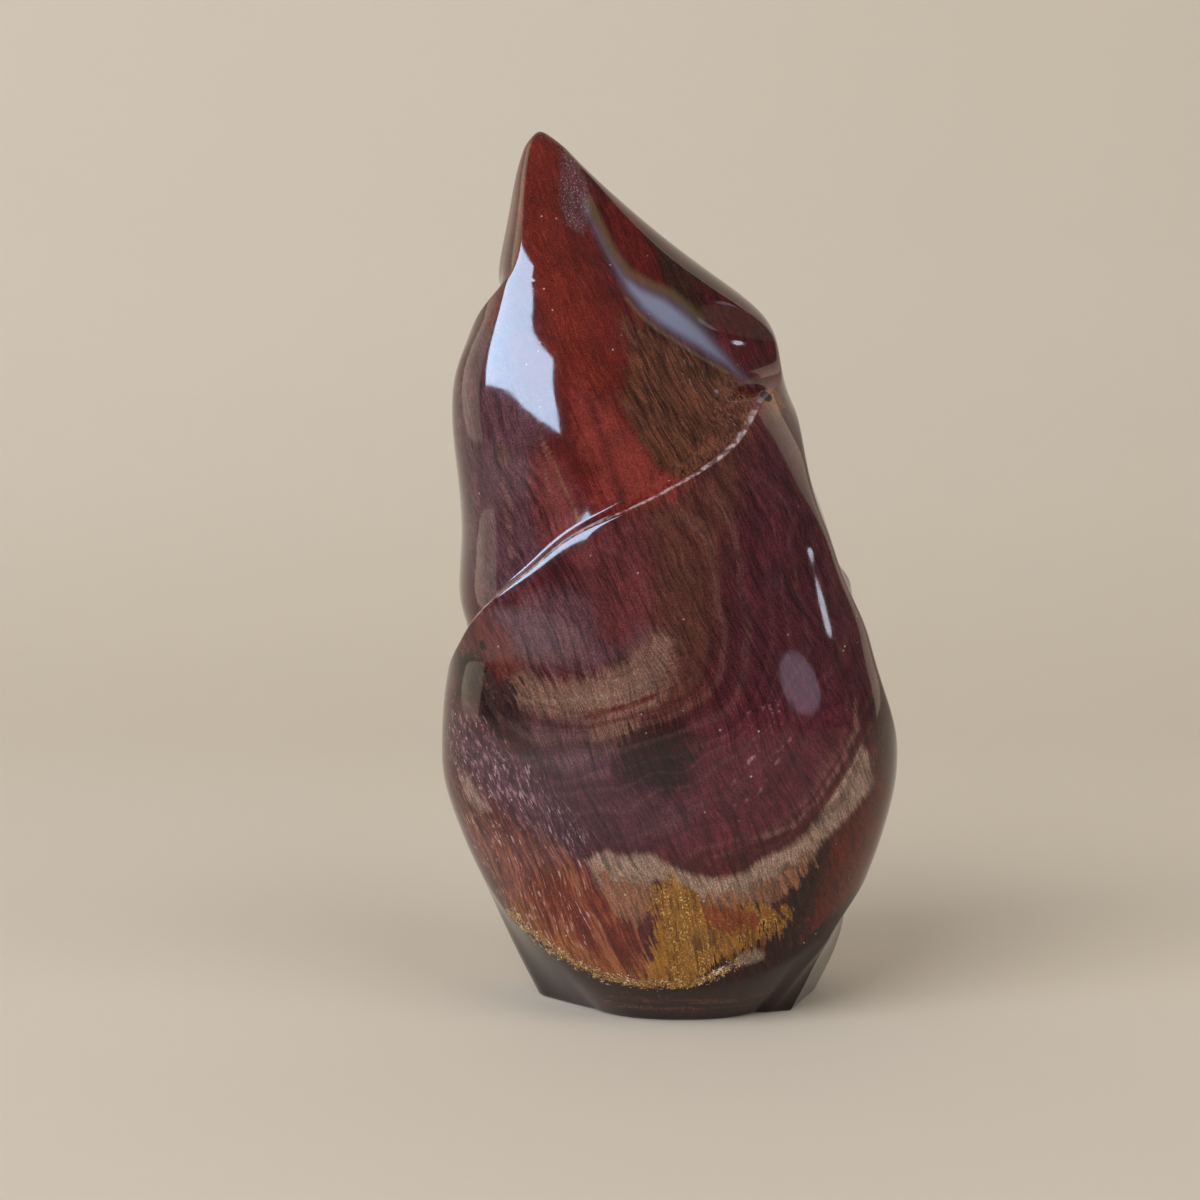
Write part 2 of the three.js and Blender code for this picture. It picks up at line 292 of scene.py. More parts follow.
# The markings are laid out on a sheet held up in front of the stone, 1200 steps wide and high, and each goes
# back into the stone along the line of sight. EYE is where the sheet is looked at from, in millimetres, and DIP
# is how far the look is down. Distances between markings are steps of the sheet.
EYE = (-12.0, -348.0, 88.5)
DIP = math.radians(3.2)
SHEET_MIDDLE = 600
SHEET_STEPS = 2000  # steps across for each unit of sideways over distance
WIDEST_LINE = 3  # behind this the markings slant away through the stone
SLANT_OF_MARKINGS = (3.4, -2.2)  # steps of the sheet for each millimetre further back
spots = np.empty(len(mesh.vertices) * 3)
mesh.vertices.foreach_get("co", spots)
spots = spots.reshape(-1, 3) / MM
aside, ahead, above = (spots - EYE).T
distance = ahead * math.cos(DIP) - above * math.sin(DIP)
climb = ahead * math.sin(DIP) + above * math.cos(DIP)
sheet = np.stack([SHEET_MIDDLE + SHEET_STEPS * aside / distance,
                  SHEET_MIDDLE - SHEET_STEPS * climb / distance], axis=1)
behind = np.maximum(0, spots[:, 1] - WIDEST_LINE)
sheet += np.stack([behind * slide for slide in SLANT_OF_MARKINGS], axis=1)


def from_line(line):
    """Distance from each spot to a line through points of the sheet."""
    nearest = np.full(len(sheet), 1e9)
    for a, b in zip(np.array(line, float), np.array(line[1:], float)):
        along = np.clip((sheet - a) @ (b - a) / ((b - a) @ (b - a)), 0, 1)
        nearest = np.minimum(nearest, np.linalg.norm(sheet - a - along[:, None] * (b - a), axis=1))
    return nearest


def inside(outline):
    """Distance inside an outline on the sheet, and below zero outside it."""
    closed = outline + outline[:1]
    within = np.zeros(len(sheet), bool)
    for (ax, ay), (bx, by) in zip(closed, closed[1:]):
        if ay != by:
            crossing = ax + (sheet[:, 1] - ay) / (by - ay) * (bx - ax)
            within ^= ((ay > sheet[:, 1]) != (by > sheet[:, 1])) & (sheet[:, 0] < crossing)
    return np.where(within, 1, -1) * from_line(closed)


# The pit at the knot with its painted shade, the band of painted reflection in the valley and their like lie in
# the front only.
FRONT_ENDS = 13
FADING = 8
past_front = FADING * np.maximum(0, spots[:, 1] - FRONT_ENDS)


def keep(name, values):
    mesh.attributes.new(name, "FLOAT", "POINT").data.foreach_set("value", values.astype(np.float32))


# Each area: colour, how soft its edge is, how far the fibres break its edge up, and its outline.
AREAS = {
    "right_dark": ("461d24", 26, 12, [
        (705, 470), (760, 430), (800, 440), (840, 560), (880, 700), (850, 740), (760, 700), (715, 700),
        (700, 600),
    ]),
    "middle_brown": ("502d26", 22, 14, [
        (640, 515), (700, 480), (745, 440), (735, 500), (720, 570), (715, 640), (700, 705), (660, 720),
        (640, 700), (652, 640), (648, 580),
    ]),
    "lower_maroon": ("511f29", 20, 12, [
        (680, 720), (720, 700), (800, 690), (850, 710), (850, 760), (810, 815), (760, 840), (700, 850),
        (640, 840), (660, 800), (690, 780),
    ]),
    "core": ("5c3c42", 16, 10, [
        (498, 610), (540, 590), (580, 590), (610, 600), (640, 620), (650, 640), (620, 662), (590, 670),
        (550, 672), (515, 660), (498, 640),
    ]),
    "core_red": ("5a292c", 16, 10, [
        (578, 545), (640, 515), (655, 560), (645, 615), (622, 650), (602, 640), (590, 600), (572, 575),
    ]),
    "ring_tan": ("74564b", 12, 8, [
        (478, 640), (515, 668), (560, 682), (600, 674), (640, 650), (655, 632), (676, 640), (672, 680),
        (655, 705), (610, 722), (560, 722), (515, 715), (485, 690),
    ]),
    "ring_brown": ("54343a", 18, 10, [
        (500, 700), (560, 722), (620, 722), (640, 740), (620, 770), (580, 790), (540, 780), (515, 750),
    ]),
    "ring_specks": ("6a4940", 10, 8, [
        (586, 722), (610, 715), (640, 716), (645, 732), (625, 745), (595, 742),
    ]),
    "low_dark": ("2a1214", 11, 22, [
        (612, 748), (640, 726), (682, 718), (694, 748), (684, 795), (650, 806), (618, 784),
    ]),
    "low_grey": ("48242c", 14, 18, [
        (520, 760), (600, 790), (700, 800), (690, 835), (620, 848), (560, 835), (530, 800),
    ]),
    "left_brick": ("5a2a27", 10, 9, [
        (452, 660), (480, 618), (505, 630), (522, 665), (500, 692), (470, 684), (446, 700),
    ]),
    "left_streaks": ("1c100f", 5, 24, [
        (452, 655), (476, 652), (500, 690), (512, 740), (494, 748), (470, 705), (452, 690),
    ]),
    "left_streaks_low": ("352021", 5, 24, [(490, 672), (515, 690), (545, 765), (522, 760), (498, 730)]),
    "mottled": ("50303a", 15, 14, [
        (446, 715), (470, 712), (500, 745), (540, 790), (590, 840), (580, 858), (540, 835), (500, 800),
        (470, 775), (448, 745),
    ]),
    "left_tan": ("8d7068", 5, 5, [(458, 768), (474, 782), (491, 811), (482, 816), (466, 799)]),
    "foot_clay": ("683a35", 14, 12, [
        (450, 790), (480, 815), (520, 830), (560, 850), (590, 880), (570, 915), (520, 925), (490, 880),
        (462, 830),
    ]),
    "foot_brick": ("6a2c1c", 12, 13, [
        (535, 868), (580, 868), (610, 895), (640, 915), (648, 985), (600, 982), (560, 958), (515, 915),
    ]),
    "right_rust": ("541a10", 8, 12, [
        (812, 872), (838, 832), (868, 790), (890, 745), (900, 800), (884, 860), (855, 900), (832, 922),
        (803, 940), (806, 905),
    ]),
    "right_edge": ("3a1f1a", 7, 8, [
        (868, 695), (885, 690), (905, 760), (893, 800), (880, 770), (872, 740),
    ]),
    "tan_band": ("8c7263", 5, 3, [
        (586, 862), (602, 850), (625, 856), (650, 852), (668, 866), (692, 874), (720, 880), (745, 872),
        (765, 857), (792, 846), (815, 822), (835, 790), (848, 765), (858, 742), (868, 752), (874, 785),
        (852, 812), (832, 832), (812, 860), (792, 884), (762, 900), (730, 905), (700, 900), (680, 886),
        (655, 880), (642, 900), (630, 912), (602, 890),
    ]),
    "dark_corner": ("2c1410", 9, 12, [
        (780, 872), (812, 858), (832, 838), (824, 880), (812, 915), (800, 945), (775, 945), (778, 905),
    ]),
    "rim_glow": ("7e4722", 13, 9, [
        (500, 892), (520, 905), (545, 925), (575, 945), (610, 960), (642, 966), (650, 990), (600, 985),
        (560, 966), (520, 930),
    ]),
    "tan_fringe": ("7c5440", 4, 12, [
        (590, 862), (610, 880), (650, 884), (700, 896), (745, 892), (790, 872), (812, 856), (800, 884),
        (770, 908), (720, 914), (680, 902), (655, 906), (632, 930), (612, 908),
    ]),
    "gold": ("8e6022", 6, 14, [
        (652, 888), (664, 880), (684, 884), (700, 897), (722, 910), (752, 902), (786, 908), (781, 928),
        (762, 943), (735, 958), (704, 978), (690, 992), (662, 994), (642, 988), (652, 950), (656, 912),
    ]),
    "gold_rust": ("6e2f1a", 5, 9, [
        (704, 905), (735, 908), (765, 916), (752, 932), (722, 932), (704, 922),
    ]),
    "tongue_red": ("581a17", 20, 8, [
        (536, 120), (575, 160), (600, 260), (640, 320), (640, 400), (668, 470), (640, 505), (560, 530),
        (530, 470), (505, 330), (510, 190),
    ]),
    "tip_orange": ("64211a", 18, 10, [
        (530, 126), (556, 150), (562, 200), (566, 240), (590, 280), (606, 330), (604, 380), (580, 400),
        (560, 380), (545, 320), (520, 262), (514, 200),
    ]),
    "tongue_band": ("78302a", 14, 12, [
        (572, 385), (602, 400), (628, 430), (662, 470), (692, 478), (672, 496), (640, 502), (604, 510),
        (596, 470), (574, 430),
    ]),
    "tongue_brown": ("523022", 11, 13, [
        (622, 318), (655, 330), (700, 358), (735, 378), (756, 400), (752, 424), (732, 447), (700, 472),
        (684, 482), (658, 464), (636, 430), (620, 400), (628, 360),
    ]),
    "tongue_plum": ("56363f", 14, 8, [
        (456, 400), (475, 340), (500, 325), (515, 380), (548, 425), (535, 470), (532, 520), (545, 545),
        (510, 590), (485, 606), (462, 540),
    ]),
    "tongue_rose": ("76393a", 14, 8, [
        (530, 450), (560, 460), (580, 500), (585, 520), (560, 545), (545, 540), (538, 500),
    ]),
    "flange_red": ("4c1412", 9, 8, [
        (584, 176), (612, 200), (665, 248), (668, 285), (640, 290), (615, 268), (600, 232),
    ]),
    "flange_dark": ("301a14", 8, 9, [
        (650, 236), (668, 250), (706, 272), (748, 304), (722, 306), (716, 340), (690, 318), (672, 296),
        (660, 272),
    ]),
    "flange_maroon": ("48161a", 10, 8, [
        (700, 285), (755, 306), (776, 330), (786, 385), (766, 388), (735, 350), (712, 325),
    ]),
    "druse": ("562e34", 6, 7, [
        (563, 150), (576, 162), (589, 186), (591, 214), (582, 234), (566, 226), (559, 200), (561, 174),
    ]),
    "knot_gold": ("6a3a18", 4, 6, [(766, 390), (780, 392), (784, 408), (776, 416), (768, 404)]),
}
for name, (colour, softness, breaking, outline) in AREAS.items():
    keep(name, inside(outline) - (past_front if name == "knot_gold" else 0))

# Each vein: colour, half its width, how soft its edge is, how far it wavers, and the points it goes through.
VEINS = {
    "vein_core": ("541a1c", 2.2, 2, 4, [(588, 717), (630, 706), (655, 695), (668, 672), (673, 645)]),
    "vein_core_pale": ("80685a", 1.6, 3, 4, [
        (520, 700), (560, 702), (610, 696), (650, 684), (662, 664),
    ]),
    "vein_tongue_a": ("7a5a50", 1.2, 3, 3, [(538, 392), (541, 430), (546, 470), (548, 500)]),
    "vein_tongue_b": ("6e4c48", 2.0, 4, 4, [(500, 440), (508, 500), (512, 560)]),
    "vein_tongue_c": ("3c2228", 3.0, 4, 4, [(476, 400), (482, 480), (486, 560)]),
    "vein_tongue_d": ("431a1a", 3.0, 5, 4, [(590, 400), (606, 450), (622, 500)]),
    "vein_olive": ("6b5434", 1.5, 2, 3, [(545, 440), (560, 478), (578, 520)]),
    "vein_band": ("451519", 3.2, 1.6, 2.4, [
        (862, 690), (866, 725), (850, 762), (826, 800), (798, 830), (768, 843), (745, 853), (730, 866),
        (712, 873), (697, 866),
    ]),
    "vein_band_upper": ("5d2f31", 1.8, 1.6, 2.4, [
        (846, 690), (848, 725), (832, 762), (808, 800), (782, 826), (752, 840), (728, 852), (705, 860),
    ]),
    "vein_tan_upper": ("6e4c45", 2.2, 2, 2.4, [
        (855, 700), (857, 728), (842, 762), (818, 800), (792, 826), (762, 838),
    ]),
    "vein_pink_a": ("84626a", 0.9, 1.6, 4, [
        (740, 724), (752, 711), (768, 706), (776, 716), (770, 736), (757, 750), (746, 770), (728, 788),
    ]),
    "vein_pink_b": ("7c5a62", 0.9, 1.6, 4, [
        (792, 736), (780, 752), (774, 772), (760, 792), (736, 806),
    ]),
    "vein_pink_c": ("7c5a62", 0.8, 1.6, 4, [(776, 700), (782, 716), (780, 730)]),
    "crack_right_a": ("120a0a", 0.1, 0.8, 3, [(804, 566), (812, 588), (818, 606), (821, 624)]),
    "crack_right_b": ("120a0a", 0.1, 0.8, 3, [(812, 580), (822, 596), (828, 604)]),
    "rim_brown": ("4a3528", 5.0, 7, 4, [(545, 984), (600, 999), (660, 1005), (712, 1003)]),
}
for name, (colour, half_width, softness, wavering, line) in VEINS.items():
    keep(name, half_width - from_line(line))

# Below this line the foot is bare dark stone, and the line itself is a crumbly golden rim.
RIM_LINE = [
    (470, 872), (510, 912), (530, 932), (550, 948), (580, 966), (610, 978), (650, 986), (690, 985),
    (715, 976), (740, 962), (762, 946), (782, 936), (802, 940), (818, 928), (840, 910), (870, 872),
    (905, 800),
]
RIM_HALF_WIDTH = 4.2
keep("foot", inside(RIM_LINE + [(1000, 800), (1000, 1100), (400, 1100), (400, 860)]))
keep("rim", RIM_HALF_WIDTH - from_line(RIM_LINE[1:10]))
# A browner band near the ground, painted as the floor's reflection.
keep("floor_reflection_band", inside([
    (556, 980), (600, 992), (660, 999), (720, 1000), (764, 992), (744, 1006), (690, 1012), (620, 1008),
    (572, 996),
]))

# A painted reflection: a bluish band along the valley between the tongue and the flange, and the fringes along
# its two edges.
keep("painted_reflection_band", -past_front + inside([
    (586, 194), (593, 214), (600, 226), (612, 250), (628, 272), (648, 285), (667, 293), (684, 305),
    (706, 325), (728, 351), (750, 380), (756, 390), (742, 382), (726, 371), (697, 354), (680, 343),
    (657, 329), (638, 313), (624, 295), (612, 272), (601, 250), (591, 232), (584, 212),
]))
keep("reflection_fringe_upper", 4.5 - past_front - from_line([
    (588, 200), (600, 226), (612, 252), (628, 272), (648, 284), (668, 292), (686, 306), (700, 320),
]))
keep("reflection_fringe_lower", 0.8 - past_front - from_line([
    (626, 298), (640, 315), (658, 330), (680, 344), (700, 357), (728, 373),
]))

# The growth rings lie round a core, and show in one part of the front only.
RING_CORE = (590, 606)
RING_FLATNESS = 1.04
keep("rings", np.hypot(sheet[:, 0] - RING_CORE[0], (sheet[:, 1] - RING_CORE[1]) * RING_FLATNESS))
keep("ringed", inside([
    (480, 640), (530, 580), (610, 530), (700, 500), (760, 470), (830, 560), (885, 690), (870, 800),
    (800, 850), (640, 860), (520, 820), (450, 720),
]))

# Where pale flecks and pale fibres lie, where the painted highlight along the crest shows, and where the gold is
# thin or ends in teeth.
keep("flecks", inside([
    (440, 700), (480, 720), (540, 780), (590, 840), (600, 900), (590, 965), (500, 920), (450, 800),
]))
keep("fibres_pale", inside([(668, 345), (700, 352), (745, 395), (740, 430), (700, 400), (680, 380)]))
keep("crest_highlight_area", inside([
    (772, 396), (788, 420), (760, 450), (700, 490), (640, 520), (600, 540), (560, 560), (500, 620),
    (470, 620), (540, 540), (600, 500), (680, 470), (740, 430), (756, 404),
]))
thin_by_rust = inside([(704, 903), (735, 906), (768, 912), (754, 930), (722, 932), (704, 922)])
thin_at_left = inside([(640, 905), (662, 918), (672, 950), (668, 982), (640, 984)])
keep("gold_gap", np.maximum(thin_by_rust, thin_at_left))
keep("teeth", inside([(708, 925), (770, 905), (796, 905), (800, 950), (745, 985), (708, 985)]))
PIT_HALF_WIDTH = 3.8
GREY_SPOT_HALF_WIDTH = 6
keep("knot_pit", PIT_HALF_WIDTH - past_front - from_line([(763, 395), (768, 398)]))
keep("grey_spot", GREY_SPOT_HALF_WIDTH - past_front - from_line([(742, 960), (758, 955)]))

stone = bpy.data.materials.new("polished_petrified_wood")
stone.use_nodes = True
tree = stone.node_tree
shader = tree.nodes["Principled BSDF"]


def linear(hex_colour):
    def channel(text):
        value = int(text, 16) / 255
        return value / 12.92 if value <= 0.04045 else ((value + 0.055) / 1.055) ** 2.4
    return tuple(channel(hex_colour[i:i + 2]) for i in (0, 2, 4)) + (1,)


def put(socket, value):
    if isinstance(value, bpy.types.NodeSocket):
        tree.links.new(value, socket)
    else:
        socket.default_value = value


def maths(operation, *values):
    node = tree.nodes.new("ShaderNodeMath")
    node.operation = operation
    for socket, value in zip(node.inputs, values):
        put(socket, value)
    return node.outputs[0]


def times(a, b):
    return maths("MULTIPLY", a, b)


def shifted(value, noise, reach):
    """A value moved up and down by a noise that lies round zero."""
    return maths("MULTIPLY_ADD", noise, reach, value)


def round_zero(noise):
    return maths("SUBTRACT", noise, 0.5)


def vectors(operation, a, b):
    node = tree.nodes.new("ShaderNodeVectorMath")
    node.operation = operation
    put(node.inputs[0], a)
    put(node.inputs["Scale" if operation == "SCALE" else 1], b)
    return node.outputs[0]


def mixed(share, a, b, way="MIX"):
    node = tree.nodes.new("ShaderNodeMix")
    node.data_type = "RGBA"
    node.blend_type = way
    put(node.inputs[0], share)
    put(node.inputs[6], linear(a) if isinstance(a, str) else a)
    put(node.inputs[7], linear(b) if isinstance(b, str) else b)
    return node.outputs[2]


def between(value, low, high, at_low=0.0, at_high=1.0):
    """A smooth step from at_low to at_high, as the value goes from low to high."""
    node = tree.nodes.new("ShaderNodeMapRange")
    node.interpolation_type = "SMOOTHSTEP"
    for socket, setting in zip(node.inputs, (value, low, high, at_low, at_high)):
        put(socket, setting)
    return node.outputs[0]


def kept(name):
    node = tree.nodes.new("ShaderNodeAttribute")
    node.attribute_name = name
    return node.outputs["Fac"]


def grain_noise(where, scale, detail=3.0, roughness=0.55, distortion=0.0):
    node = tree.nodes.new("ShaderNodeTexNoise")
    put(node.inputs["Vector"], where)
    put(node.inputs["Scale"], scale)
    put(node.inputs["Detail"], detail)
    put(node.inputs["Roughness"], roughness)
    put(node.inputs["Distortion"], distortion)
    return node.outputs["Fac"]


def turned(where, tilt, stretch):
    """The place with one axis laid along the fibres, so that a noise is drawn out along them."""
    node = tree.nodes.new("ShaderNodeMapping")
    node.vector_type = "POINT"
    put(node.inputs["Vector"], where)
    node.inputs["Rotation"].default_value = (0, math.radians(tilt), 0)
    node.inputs["Scale"].default_value = (1, 1, 1)
    return vectors("MULTIPLY", node.outputs[0], (1, DEEP_STRETCH, 1 / stretch))


# Places are in millimetres. The fibres lean to the right, sway a little, and run deep into the stone.
FIBRE_LEAN = 24
GOLD_LEAN = 9
DEEP_STRETCH = 0.3
in_metres = tree.nodes.new("ShaderNodeTexCoord").outputs["Object"]
place = vectors("SCALE", in_metres, 1 / MM)
sway = grain_noise(place, 0.045, 2)
bent = vectors("ADD", place, vectors("MULTIPLY", mixed(1, sway, sway), (6, 0, 2.5)))
streaks = grain_noise(turned(bent, FIBRE_LEAN, 14), 1.1, 4, 0.6)
fibres = grain_noise(turned(bent, FIBRE_LEAN, 9), 3.6, 3, 0.6)
frayed = grain_noise(turned(bent, FIBRE_LEAN, 24), 2.4, 2, 0.6)
flecked = grain_noise(turned(bent, FIBRE_LEAN, 4.5), 2.2, 3, 0.65)
grain = grain_noise(place, 4.6, 2, 0.6)
clouds = grain_noise(bent, 0.16, 4, 0.55, 0.6)
mottle = grain_noise(bent, 0.7, 4, 0.6)
crumbs = grain_noise(place, 3.2, 4, 0.7)
broken = maths("SUBTRACT", maths("ADD", times(streaks, 1.1), times(mottle, 0.9)), 1.0)
torn = shifted(broken, round_zero(frayed), 0.9)

# The areas lie over the body's maroon, each with its edge broken up along the fibres, and the veins over them.
EDGE_REACH = 2.2
VEIN_STRENGTH = 0.85
colour = mixed(clouds, "3a171b", "5a2227")
for name, (paint, softness, breaking, outline) in AREAS.items():
    edge = shifted(kept(name), torn, breaking * EDGE_REACH)
    colour = mixed(between(edge, -0.8 * softness, 0.8 * softness), colour, paint)
for name, (paint, half_width, softness, wavering, line) in VEINS.items():
    edge = shifted(kept(name), broken, wavering * EDGE_REACH)
    colour = mixed(times(between(edge, -softness, softness), VEIN_STRENGTH), colour, paint)
tan_share = times(between(kept("tan_fringe"), -12, 8), between(frayed, 0.5, 0.36, 0, 0.6))
colour = mixed(tan_share, colour, "5c3a30")

# Growth rings round the core, drawn thin and wavering.
ring_noise = tree.nodes.new("ShaderNodeTexNoise")
ring_noise.noise_dimensions = "1D"
put(ring_noise.inputs["W"], maths("MULTIPLY_ADD", kept("rings"), 0.075, times(sway, 6.0)))
put(ring_noise.inputs["Scale"], 1.0)
put(ring_noise.inputs["Detail"], 2.0)
ring_lines = ring_noise.outputs["Fac"]
ringed_part = between(shifted(kept("ringed"), torn, 30), -26, 26)
ringed_share = times(ringed_part, between(kept("rings"), 40, 95, 0.15, 1))
colour = mixed(times(ringed_share, between(ring_lines, 0.5, 0.72, 0, 0.12)), colour, "7a5f55")
colour = mixed(times(ringed_share, between(ring_lines, 0.5, 0.32, 0, 0.42)), colour, "361317")

# Dark fibres and fine grain everywhere, fainter in the smooth red of the tongue.
smooth_red = between(kept("tongue_red"), -12, 20, 0, 0.62)
dark_fibres = times(between(streaks, 0.34, 0.54, 0.6, 1.1), between(fibres, 0.3, 0.7, 0.68, 1.35))
colour = mixed(1, colour, mixed(smooth_red, dark_fibres, (1, 1, 1, 1)), "MULTIPLY")
shading = times(between(clouds, 0.3, 0.7, 0.84, 1.2), between(grain, 0.28, 0.72, 0.56, 1.5))
colour = vectors("SCALE", colour, shading)

# Orange fibres in the red of the tip, and clay-coloured ones in the brick red above the rim.
tip_fibres = between(shifted(fibres, round_zero(streaks), 0.5), 0.56, 0.7, 0, 0.5)
colour = mixed(times(between(kept("tip_orange"), -14, 14), tip_fibres), colour, "93401f")
clay = between(maths("MAXIMUM", kept("foot_brick"), kept("foot_clay")), -20, 10)
clay_fibres = between(shifted(streaks, round_zero(fibres), 0.6), 0.5, 0.66, 0, 0.5)
colour = mixed(times(clay, clay_fibres), colour, "a2694a")

# Strong streaks in the brown wedge, with pale fibres along its upper edge.
wedge_share = between(kept("tongue_brown"), -8, 10)
wedge_streaks = mixed(wedge_share, (1, 1, 1, 1), between(frayed, 0.32, 0.66, 0.55, 1.5))
colour = mixed(1, colour, wedge_streaks, "MULTIPLY")
pale_share = times(between(kept("fibres_pale"), -8, 8), between(flecked, 0.6, 0.68, 0, 0.75))
colour = mixed(pale_share, colour, "a08a94")

# Pale flecks at the lower left, and the band there that is mottled pink and dark.
fleck_places = between(shifted(fibres, round_zero(mottle), 0.4), 0.62, 0.7, 0, 0.85)
colour = mixed(times(between(kept("flecks"), -14, 10), fleck_places), colour, "c4a8a6")
mottled_part = between(kept("mottled"), -14, 8)
colour = mixed(times(mottled_part, between(flecked, 0.55, 0.66, 0, 0.75)), colour, "a27882")
colour = mixed(times(mottled_part, between(flecked, 0.46, 0.36, 0, 0.7)), colour, "2e171b")

# The bare dark foot, with teeth that reach up into the gold, and a browner band near the ground that is a
# painted reflection of the floor.
upright = grain_noise(turned(place, GOLD_LEAN, 9), 1.5, 3, 0.65)
teeth = times(round_zero(upright), between(kept("teeth"), -8, 8, 0, 150))
foot_share = between(maths("ADD", teeth, shifted(kept("foot"), broken, 9)), -1.2, 1.2)
level_streaks = grain_noise(vectors("MULTIPLY", place, (0.12, 0.12, 1.6)), 1.0, 3, 0.6)
floor_reflection_share = times(between(kept("floor_reflection_band"), -9, 7), between(level_streaks, 0.42, 0.62, 0, 0.7))
foot_stone_and_reflection = mixed(floor_reflection_share, mixed(mottle, "1c0806", "30110c"), "5c3620")
foot_stone_and_reflection = vectors("SCALE", foot_stone_and_reflection, between(frayed, 0.3, 0.7, 0.5, 1.6))
colour = mixed(foot_share, colour, foot_stone_and_reflection)

# The gold: a grit of dark and golden crumbs in upright fibres with cream specks of painted glints, thinner over
# the rust patch.
gold_share = times(between(shifted(kept("gold"), torn, 34), -3, 4), maths("SUBTRACT", 1, foot_share))
gold_share = times(gold_share, between(shifted(kept("gold_gap"), torn, 16), -3, 4, 1, 0.25))
grit = mixed(between(crumbs, 0.36, 0.62), "5a3414", "b07a26")
grit = mixed(between(upright, 0.38, 0.5, 0.85, 0), grit, "4a2413")
# The cream specks in the grit are painted glints.
grit = mixed(between(shifted(crumbs, round_zero(upright), 0.5), 0.6, 0.68), grit, "ecd49c")
patches = grain_noise(turned(place, GOLD_LEAN, 3), 0.34, 3, 0.6)
gold_mix = times(between(fibres, 0.28, 0.5, 0.3, 0.96), between(patches, 0.36, 0.5, 0.3, 1))
colour = mixed(times(gold_share, gold_mix), colour, grit)

# The rim of the same crumbs, in lumps, with cream specks of painted glints.
lumps = grain_noise(place, 0.9, 3, 0.7)
rim_edge = shifted(shifted(kept("rim"), crumbs, 9), round_zero(lumps), 22)
rim_share = between(rim_edge, 4.6, 6.4)
rim_grit = mixed(between(crumbs, 0.4, 0.55), mixed(lumps, "4a280f", "6a3f18"), "a8792f")
painted_glint_crumbs = between(shifted(crumbs, round_zero(lumps), 0.6), 0.58, 0.66)
colour = mixed(rim_share, colour, mixed(painted_glint_crumbs, rim_grit, "f2e6c8"))

# The grey spot on the foot, the crystals under the tip with pale specks that are painted glints, and the pit at
# the knot, painted near black as shade.
grey_share = times(between(kept("grey_spot"), -3, 3), between(crumbs, 0.4, 0.6, 0.2, 0.8))
colour = mixed(grey_share, colour, "a08c78")
# The pale specks over the crystals are painted glints.
crystals = between(kept("druse"), -4, 5)
colour = mixed(times(crystals, between(crumbs, 0.56, 0.66, 0, 0.85)), colour, "c0a0a8")
# The pit's near-black colour is painted shade inside it; the same share also roughens the pit and sinks its
# bump.
pit_and_painted_shade = between(kept("knot_pit"), -1.0, 1.5)
colour = mixed(pit_and_painted_shade, colour, "120b08")

# A painted reflection of a pale light lies as a bluish band along the valley between the tongue and the flange,
# with greenish edges.
colour = mixed(between(kept("reflection_fringe_upper"), -4, 4, 0, 0.5), colour, "6e5f40")
reflection_band_share = between(shifted(kept("painted_reflection_band"), torn, 3), -4, 11, 0, 0.95)
reflection_band_blue = mixed(between(kept("painted_reflection_band"), 2, 14), "5c5464", "7f86a0")
colour = mixed(reflection_band_share, colour, reflection_band_blue)
colour = mixed(between(kept("reflection_fringe_lower"), -2.2, 0.8, 0, 0.32), colour, "807a4a")

# A pale line of painted highlight lies along the crest of the front wrap where it crosses the front.
painted_crest_highlight = times(between(kept("from_front_crest"), 0.35, 1.1, 1, 0), between(kept("crest_highlight_area"), -8, 8))
colour = mixed(times(painted_crest_highlight, between(mottle, 0.42, 0.6, 0.12, 0.9)), colour, "c2aeb2")

# A few pale dots, where the polish has opened tiny holes.
dots = tree.nodes.new("ShaderNodeTexVoronoi")
put(dots.inputs["Vector"], place)
put(dots.inputs["Scale"], 0.42)
dot_share = times(between(dots.outputs["Distance"], 0.05, 0.09, 0.8, 0), between(clouds, 0.52, 0.6))
colour = mixed(dot_share, colour, "c8b0ac")

# The polish is mirror bright, and is missing on the rim and in the pit, and thin on the gold and the crystals.
rough_share = maths("MAXIMUM", rim_share, times(gold_share, 0.45))
rough_share = maths("MAXIMUM", rough_share, times(crystals, 0.4))
rough_share = maths("MAXIMUM", rough_share, pit_and_painted_shade)
put(shader.inputs["Base Color"], colour)
put(shader.inputs["Roughness"], maths("ADD", times(rough_share, 0.5), between(mottle, 0.3, 0.7, 0.05, 0.1)))
shader.inputs["IOR"].default_value = 1.54
shader.inputs["Specular IOR Level"].default_value = 0.36

relief = times(times(crumbs, rough_share), 0.35)
relief = maths("ADD", relief, times(sway, 0.1))
relief = maths("SUBTRACT", relief, times(pit_and_painted_shade, 0.5))
bump = tree.nodes.new("ShaderNodeBump")
put(bump.inputs["Height"], relief)
bump.inputs["Distance"].default_value = MM
bump.inputs["Strength"].default_value = 0.6
put(shader.inputs["Normal"], bump.outputs["Normal"])
mesh.materials.append(stone)

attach(carving, "root")
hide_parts("flame_carving")

